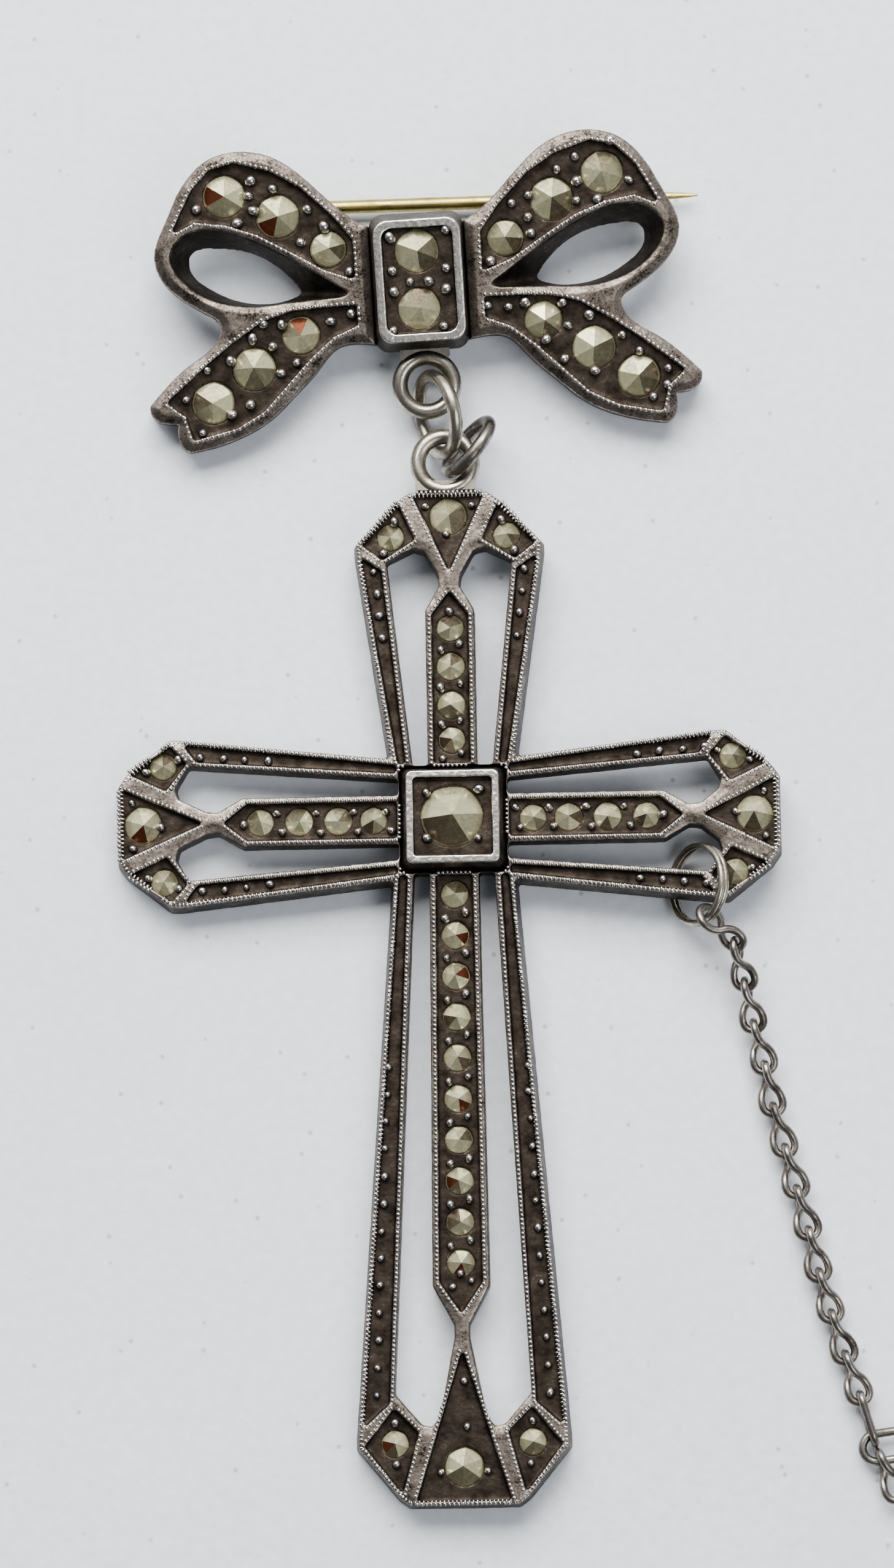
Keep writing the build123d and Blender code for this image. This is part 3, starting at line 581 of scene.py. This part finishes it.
# Middles of the grains, in the plane of their assembly.
LEFT_LOOP_GRAINS = [
    (-8.4, 5.7), (-8.5, 5.0), (-8.35, 4.2), (-9.2, 3.6), (-11.3, 4.4), (-5.5, 4.1), (-4.7, 3.1),
    (-6.0, 2.4), (-3.6, 0.75), (-7.3, 5.3),
]
LEFT_TAIL_GRAINS = [
    (-4.7, -1.75), (-3.65, -1.45), (-7.3, -1.75), (-8.2, -1.7), (-8.8, -2.4), (-7.8, -2.9),
    (-6.6, -3.8), (-7.45, -4.3), (-9.1, -5.8), (-10.0, -3.5), (-11.3, -3.9), (-12.5, -5.3),
    (-10.1, -6.3), (-11.7, -7.1),
]
RIGHT_LOOP_GRAINS = [
    (5.0, 3.7), (5.9, 4.05), (5.85, 2.95), (5.9, 2.1), (3.75, 0.75), (7.5, 5.35), (8.4, 5.9),
    (8.45, 4.65), (8.4, 3.6), (9.45, 3.65), (10.35, 6.65), (11.2, 4.55),
]
RIGHT_TAIL_GRAINS = [
    (3.45, -1.45), (4.5, -1.6), (5.4, -1.45), (7.35, -1.55), (7.55, -2.8), (8.7, -2.3),
    (6.35, -3.4), (7.25, -4.5), (10.35, -3.45), (11.2, -4.3), (8.8, -5.2), (12.6, -5.3),
    (11.7, -6.75), (12.5, -6.2),
]
KNOT_GRAINS = [
    (-1.4, 0.55), (1.4, 0.55), (-1.35, -0.5), (1.35, -0.5), (-0.5, -0.05), (0.45, -0.05),
    (1.5, 2.5), (-1.4, 2.3), (-1.5, -2.5), (1.15, -2.4),
]
BOX_GRAINS = [(1.4, 1.4), (-1.35, 1.3), (-1.35, -1.1), (1.25, -1.15)]
# Angle of each short arm, its length, and half its width at the end.
SHORT_ARMS = [(90, 17.15, 4.95), (180, 17.35, 4.5), (0, 16.85, 4.5)]
LONG_ARM_ANGLE = -90
SPINE_GAPS = [3.3, 5.0, 6.92, 8.92]  # middles of the gaps between the stones of a short arm
RAIL_ROOT = 2.6  # from the spine to the middle of a rail, where it leaves the box
RAIL_START = 2.6  # from the middle of the box to where the rails leave it
RAIL_LOSS = 5.5  # how much shorter than its arm a rail is


def bow_beads(shape, layer):
    """The bow's beaded rims, and the grains on the bow and its knot."""
    draw = random.Random(11)
    floor = BOW_THICK - BOW_RECESS
    stones = stones_on("bow", BOW)
    floors = level_outlines("bow_frame", BOW, floor)
    height = BOW_THICK - BOW_BEAD_SINK
    beaded_rims(shape, layer, floors, height, BOW_BEAD, BOW_PITCH, RIM_MIDDLE, stones, draw)
    for places in (LEFT_LOOP_GRAINS, LEFT_TAIL_GRAINS, RIGHT_LOOP_GRAINS, RIGHT_TAIL_GRAINS):
        grains(shape, layer, places, floor, BOW_GRAIN, draw)
    grains(shape, layer, KNOT_GRAINS, KNOT_TOP - BOW_RECESS, BOW_GRAIN, draw)


def turned(x, y, angle):
    """A point turned about the middle, by degrees."""
    c, s = math.cos(math.radians(angle)), math.sin(math.radians(angle))
    return x * c - y * s, x * s + y * c


def short_arm_grains(reach, spread):
    """Grains of a short arm, drawn along +x: pairs on the spine, rows on the rails, and the wide end's."""
    places = []
    for gap in SPINE_GAPS:
        places += [(gap - 0.12, 0.52), (gap + 0.14, -0.48)]
    places += [(10.8, 0.05), (reach - 2.35, 0.1), (reach - 0.85, 1.2), (reach - 0.85, -1.2)]
    for side in (-1, 1):
        slope = (spread - 0.9 - RAIL_ROOT) / (reach - RAIL_LOSS)
        for step in range(4):
            along = 9.5 + 1.15 * step
            places.append((along, side * (RAIL_ROOT + slope * (along - RAIL_START))))
        places += [(reach - 3.25, side * 3.35), (reach - 1.6, side * 2.75)]
    return places


def long_arm_grains():
    """Grains of the lower arm, drawn along +x."""
    places = [(23.3, 0.0), (28.7, 0.1), (31.0, 0.2), (33.3, 1.2), (33.3, -1.2)]
    for step in range(10):
        along = 4.95 + 2.095 * step
        places += [(along - 0.12, 0.52), (along + 0.14, -0.48)]
    for side in (-1, 1):
        for step in range(13):
            along = 12.7 + 1.39 * step
            places.append((along, side * (3.55 + (4.4 - 3.55) * step / 12)))
        places += [(30.75, side * 3.5), (32.9, side * 3.4)]
    return places


def cross_beads(shape, layer):
    """The cross's beaded rims and edge cuts, and the grains on the cross and its box."""
    draw = random.Random(23)
    floor = CROSS_THICK - CROSS_RECESS
    stones = stones_on("cross", CROSS)
    floors = level_outlines("cross_frame", CROSS, floor)
    height = CROSS_THICK - CROSS_BEAD_SINK
    beaded_rims(shape, layer, floors, height, CROSS_BEAD, CROSS_PITCH, RIM_MIDDLE, stones, draw)
    faces = level_outlines("cross_frame", CROSS, CROSS_THICK)
    height = CROSS_THICK - EDGE_BEAD_SINK
    beaded_rims(shape, layer, faces, height, EDGE_BEAD, EDGE_PITCH, EDGE_MIDDLE, stones, draw)
    arms = [(angle, short_arm_grains(reach, spread)) for angle, reach, spread in SHORT_ARMS]
    arms.append((LONG_ARM_ANGLE, long_arm_grains()))
    for angle, places in arms:
        grains(shape, layer, [turned(x, y, angle) for x, y in places], floor, CROSS_GRAIN, draw)
    grains(shape, layer, BOX_GRAINS, BOX_TOP - BOX_RECESS, BOX_GRAIN, draw)


# ---- Stones ---------------------------------------------------------------------------------------------
CROWN_PITCH = 31  # degrees between a facet and the girdle
GIRDLE_EDGE = 0.09  # width of the bevel round a stone, as a share of its radius
RED_TONE = 1.3  # the tone of a facet that looks reddish brown
RED_SHARE = 0.2
STONE_SHARE = 0.97  # radius of a cut stone, as a share of the CAD stone's
GIRDLE_FOOT = 0.3  # how far a stone's wall goes down below its girdle, millimetres
GIRDLE_LIP = 0.05  # from the bevel's own surface down to the top of the wall
# Painted shade on a stone's wall below its girdle, down in its seat.
PAINTED_WALL_SHADE = 0.1


def add_stone(shape, facet_tint_and_painted_light, middle, radius, girdle, crown, draw):
    """A rose-cut stone on a round seat: six flat facets that meet in a point a little off its middle."""
    facets, steps = 6, 4
    count = facets * steps
    turn = draw.uniform(0, 2 * math.pi)
    apex = (middle.x + draw.uniform(-0.06, 0.06) * radius, middle.y + draw.uniform(-0.06, 0.06) * radius)
    lower, upper, inner = [], [], []
    for step in range(count):
        around = turn + 2 * math.pi * step / count
        from_ridge = 2 * math.pi * (step % steps) / count
        from_middle = from_ridge - math.pi / facets
        drop = crown * (1 - math.cos(from_middle) / math.cos(math.pi / facets))
        x = middle.x + radius * math.cos(around)
        y = middle.y + radius * math.sin(around)
        lower.append(shape.verts.new((x, y, girdle - GIRDLE_FOOT)))
        upper.append(shape.verts.new((x, y, girdle + drop - GIRDLE_LIP)))
        inside = Vector((x, y, girdle + drop)).lerp(Vector((*apex, girdle + crown)), GIRDLE_EDGE)
        inner.append(shape.verts.new(inside))
    point = shape.verts.new((*apex, girdle + crown))
    # Each facet gets a painted reflection, pale or dark; one facet takes the darkest painted reflection, or
    # in some stones a reddish brown tint, and the next facet a darker painted reflection.
    painted_reflections_and_tint = [draw.uniform(0.45, 1.0) for _ in range(facets)]
    dark_reflection_or_red_facet = draw.randrange(facets)
    painted_reflections_and_tint[dark_reflection_or_red_facet] = RED_TONE if draw.random() < RED_SHARE else draw.uniform(0.0, 0.25)
    painted_reflections_and_tint[(dark_reflection_or_red_facet + 1) % facets] = draw.uniform(0.05, 0.6)
    for i in range(count):
        j = (i + 1) % count
        # Painted shade on the wall below the girdle.
        wall = shape.faces.new((lower[i], lower[j], upper[j], upper[i]))
        wall[facet_tint_and_painted_light] = PAINTED_WALL_SHADE
        # The bevel round the girdle gets a painted highlight, lighter than the darker facets.
        edge = shape.faces.new((upper[i], upper[j], inner[j], inner[i]))
        edge[facet_tint_and_painted_light] = 0.5 + 0.4 * min(painted_reflections_and_tint[i // steps], 1.0)
        facet = shape.faces.new((inner[i], inner[j], point))
        facet[facet_tint_and_painted_light] = painted_reflections_and_tint[i // steps]
    shape.faces.new(lower[::-1])


def stone_piece(node, plane, seed):
    """All stones of one CAD node, cut again with round girdles and uneven facets."""
    body = nodes[node]["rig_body"]
    shape = bmesh.new()
    facet_tint_and_painted_light = shape.faces.layers.float.new("facet_tint_and_painted_light")
    draw = random.Random(seed)
    for middle, radius, peak in stone_places([node], plane):
        crown = radius * math.tan(math.radians(CROWN_PITCH))
        add_stone(shape, facet_tint_and_painted_light, middle, radius * STONE_SHARE, peak - crown, crown, draw)
    piece = placed(f"{node}_cut", shape, plane, STONE, body)
    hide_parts(node)


# ---- The object -----------------------------------------------------------------------------------------
cast_piece(
    "bow_casting", "bow_frame", BOW, "bow", BOW_THICK, BOW_RECESS,
    flare=0.10, fall=0.26, voxel=FRAME_VOXEL, shine=0.22,
)
cast_piece(
    "knot_casting", "bow_knot", BOW, "bow", KNOT_TOP, BOW_RECESS,
    flare=0.0, fall=0.0, voxel=SMALL_VOXEL, shine=0.75,
)
cast_piece(
    "cross_casting", "cross_frame", CROSS, "cross", CROSS_THICK, CROSS_RECESS,
    flare=0.03, fall=0.1, voxel=FRAME_VOXEL, shine=0.24,
)
cast_piece(
    "box_casting", "centre_box", CROSS, "cross", BOX_TOP, BOX_RECESS,
    flare=0.0, fall=0.0, voxel=SMALL_VOXEL, shine=0.8,
)
bead_piece("bow_grains", BOW, "bow", bow_beads)
bead_piece("cross_grains", CROSS, "cross", cross_beads)
for seed, node in enumerate(sorted(n for n in nodes if "marcasite" in n)):
    stone_piece(node, BOW if nodes[node]["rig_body"] == "bow" else CROSS, seed)

# The CAD pieces that still show keep their shape and get a metal; those not named here are chain silver.
FINISHES = {
    "bow_ring": RING,
    "cross_ring": RING,
    "hinge_plate": RING,
    "catch": RING,
    "hinge_rivet": BRASS,
    "pin_stem": BRASS,
    "large_jump_ring": RING,
    "small_jump_ring": CHAIN,
    "chain_ring": RING,
    "guard_pin_wire": STEEL,
    "guard_pin_cap": STEEL,
}
for name, node in nodes.items():
    if not node.hide_render:
        node.data.materials.clear()
        node.data.materials.append(FINISHES.get(name, CHAIN))


# ---- Stage ----------------------------------------------------------------------------------------------
TABLE_HALF = 0.6  # metres
WORLD_COLOR = (0.82, 0.88, 0.97, 1)
HEIGHT_SHARE = -0.45  # what height adds to a direction's y before it is turned into brightness
WORLD_RANGE = {"From Min": -0.6, "From Max": 0.7, "To Min": 0.16, "To Max": 1.1}


def make_floor():
    shape = bmesh.new()
    bmesh.ops.create_grid(shape, x_segments=1, y_segments=1, size=TABLE_HALF)
    data = bpy.data.meshes.new("table")
    shape.to_mesh(data)
    shape.free()
    table = bpy.data.objects.new("table", data)
    bpy.context.scene.collection.objects.link(table)
    data.materials.append(paper())


def make_light(name, place, size, power, color):
    """A soft box that faces the middle of the scene."""
    lamp = bpy.data.lights.new(name, "AREA")
    lamp.shape = "RECTANGLE"
    lamp.size, lamp.size_y = size
    lamp.energy = power
    lamp.color = color
    holder = bpy.data.objects.new(name, lamp)
    holder.location = place
    holder.rotation_euler = (Vector((0, 0, 0)) - Vector(place)).to_track_quat("-Z", "Y").to_euler()
    bpy.context.scene.collection.objects.link(holder)


def make_world():
    """Bluish surroundings, bright towards +y, dim overhead and towards -y."""
    world = bpy.data.worlds.new("studio")
    world.use_nodes = True
    bpy.context.scene.world = world
    tree = world.node_tree
    direction = tree.nodes.new("ShaderNodeTexCoord").outputs["Generated"]
    split = tree.nodes.new("ShaderNodeSeparateXYZ")
    tree.links.new(direction, split.inputs[0])
    lean = tree.nodes.new("ShaderNodeMath")
    lean.operation = "MULTIPLY_ADD"
    tree.links.new(split.outputs["Z"], lean.inputs[0])
    lean.inputs[1].default_value = HEIGHT_SHARE
    tree.links.new(split.outputs["Y"], lean.inputs[2])
    share = tree.nodes.new("ShaderNodeMapRange")
    tree.links.new(lean.outputs[0], share.inputs["Value"])
    for name, value in WORLD_RANGE.items():
        share.inputs[name].default_value = value
    background = tree.nodes["Background"]
    background.inputs["Color"].default_value = WORLD_COLOR
    tree.links.new(share.outputs[0], background.inputs["Strength"])


def make_camera():
    data = bpy.data.cameras.new("camera")
    data.sensor_fit = "VERTICAL"
    data.sensor_height = 36
    data.lens = data.sensor_height * CAMERA_DISTANCE / PICTURE_HEIGHT
    data.clip_start = 0.005
    data.clip_end = 5
    camera = bpy.data.objects.new("camera", data)
    aim = Vector(CAMERA_AIM) * MM
    tilt = math.radians(CAMERA_ELEVATION)
    back = Vector((0, -math.cos(tilt), math.sin(tilt)))
    camera.location = aim + back * CAMERA_DISTANCE * MM
    camera.rotation_euler = (math.radians(90) - tilt, 0, 0)
    bpy.context.scene.collection.objects.link(camera)
    bpy.context.scene.camera = camera


make_floor()
make_world()
make_light("window", place=(-0.04, 0.23, 0.27), size=(0.34, 0.24), power=4.4, color=(1.0, 0.985, 0.96))
make_light("fill", place=(0.25, -0.2, 0.45), size=(0.3, 0.3), power=1.6, color=(0.93, 0.96, 1.0))
make_camera()
